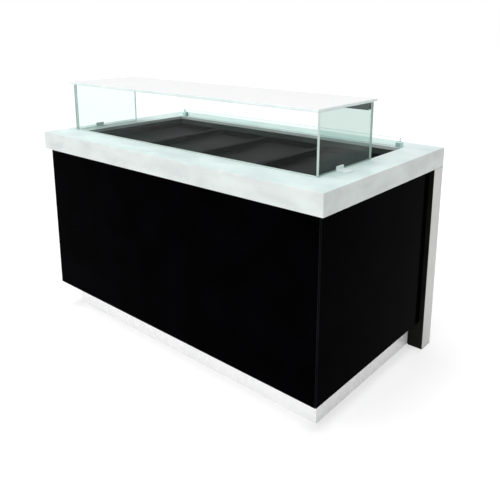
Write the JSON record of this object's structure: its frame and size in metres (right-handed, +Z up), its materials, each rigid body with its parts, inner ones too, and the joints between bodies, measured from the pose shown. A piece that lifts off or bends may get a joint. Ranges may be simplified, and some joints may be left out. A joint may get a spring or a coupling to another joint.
{
  "type": "hot food display case",
  "caption": "Free-standing heated food display counter with a stone worktop, a heated well with lift-out trays, a low glass case and a rear cabinet with sliding doors.",
  "frame": {"origin": "on the floor under the middle of the worktop's footprint", "axes": "+X along the counter to the customer's right, +Y from the customer's side to the operator's side, +Z up"},
  "size_m": [1.6, 0.9, 1.13],
  "materials": {
    "worktop_stone": "honed white marble with soft grey clouds",
    "gloss_panel": "high-gloss black laminate",
    "leg_steel": "brushed stainless steel",
    "carcass_steel": "mill-finish folded sheet",
    "fitting_steel": "satin stainless steel",
    "foot_plastic": "black moulded plastic",
    "cabinet_board": "pale grey melamine-faced board",
    "plinth_board": "pale laminate",
    "well_steel": "dark non-stick coating",
    "deck_glass": "black glass-ceramic",
    "heater_mat": "silicone heating mat",
    "insulation": "mineral fibre board",
    "tray_enamel": "black enamel",
    "clear_glass": "toughened clear glass with teal edges",
    "top_glass": "heat-reflecting coated glass, pale from above",
    "rail_paint": "dark anodised extrusion",
    "diffuser": "opal strip",
    "control_plastic": "black moulded plastic",
    "red_plastic": "red moulded plastic",
    "track_aluminium": "satin anodised extrusion"
  },
  "bodies": {
    "counter": {"worktop": "worktop_stone", "top_frame": "carcass_steel", "rear_leg_left": "leg_steel", "leg_foot_left": "foot_plastic", "rear_leg_right": "leg_steel", "leg_foot_right": "foot_plastic", "front_panel": "gloss_panel", "left_side_panel": "gloss_panel", "right_side_panel": "gloss_panel", "base_board": "cabinet_board", "centre_divider": "cabinet_board", "shelf_left": "carcass_steel", "shelf_right": "carcass_steel", "front_plinth": "plinth_board", "rear_plinth": "plinth_board", "left_plinth": "plinth_board", "right_plinth": "plinth_board", "front_foot_left": "foot_plastic", "rear_foot_left": "foot_plastic", "front_foot_right": "foot_plastic", "rear_foot_right": "foot_plastic", "well_tub": "well_steel", "insulation_board": "insulation", "well_casing": "carcass_steel", "deck_plate_left": "deck_glass", "heater_mat_left": "heater_mat", "deck_plate_right": "deck_glass", "heater_mat_right": "heater_mat", "front_glass": "clear_glass", "left_glass": "clear_glass", "right_glass": "clear_glass", "top_glass": "top_glass", "pane_bracket_left": "fitting_steel", "pane_bracket_right": "fitting_steel", "light_rail": "rail_paint", "light_diffuser": "diffuser", "guard_glass": "clear_glass", "guard_clamp_left": "fitting_steel", "guard_clamp_right": "fitting_steel", "control_fascia": "leg_steel", "thermostat_left": "control_plastic", "thermostat_right": "control_plastic", "switch_bezel": "control_plastic", "terminal_box": "control_plastic", "bottom_track": "track_aluminium", "top_track": "track_aluminium", "inlet_gland": "control_plastic"},
    "left_door": {"left_door": "leg_steel"},
    "right_door": {"right_door": "leg_steel"},
    "knob_left": {"knob_left": "control_plastic"},
    "knob_right": {"knob_right": "control_plastic"},
    "power_rocker": {"power_rocker": "red_plastic"},
    "light_rocker": {"light_rocker": "control_plastic"},
    "tray_1": {"display_tray_1": "tray_enamel"},
    "tray_2": {"display_tray_2": "tray_enamel"},
    "tray_3": {"display_tray_3": "tray_enamel"},
    "tray_4": {"display_tray_4": "tray_enamel"}
  },
  "joints": [
    {"name": "left_door_slide", "type": "slide", "parent": "counter", "child": "left_door", "axis": [1, 0, 0], "range_m": [0, 0.714]},
    {"name": "right_door_slide", "type": "slide", "parent": "counter", "child": "right_door", "axis": [-1, 0, 0], "range_m": [0, 0.714]},
    {"name": "knob_left_turn", "type": "hinge", "parent": "counter", "child": "knob_left", "pos_m": [-0.54, 0.4235, 0.76985], "axis": [0, -1, 0], "range_deg": [0, 270]},
    {"name": "knob_right_turn", "type": "hinge", "parent": "counter", "child": "knob_right", "pos_m": [-0.44, 0.4235, 0.76985], "axis": [0, -1, 0], "range_deg": [0, 270]},
    {"name": "power_rocker_tilt", "type": "hinge", "parent": "counter", "child": "power_rocker", "pos_m": [-0.653, 0.4248, 0.76985], "axis": [1, 0, 0], "range_deg": [0, 20]},
    {"name": "light_rocker_tilt", "type": "hinge", "parent": "counter", "child": "light_rocker", "pos_m": [-0.627, 0.4248, 0.76985], "axis": [1, 0, 0], "range_deg": [0, 20]},
    {"name": "tray_1_lift", "type": "slide", "parent": "counter", "child": "tray_1", "axis": [0, 0, 1], "range_m": [0, 0.15]},
    {"name": "tray_2_lift", "type": "slide", "parent": "counter", "child": "tray_2", "axis": [0, 0, 1], "range_m": [0, 0.15]},
    {"name": "tray_3_lift", "type": "slide", "parent": "counter", "child": "tray_3", "axis": [0, 0, 1], "range_m": [0, 0.15]},
    {"name": "tray_4_lift", "type": "slide", "parent": "counter", "child": "tray_4", "axis": [0, 0, 1], "range_m": [0, 0.15]}
  ]
}
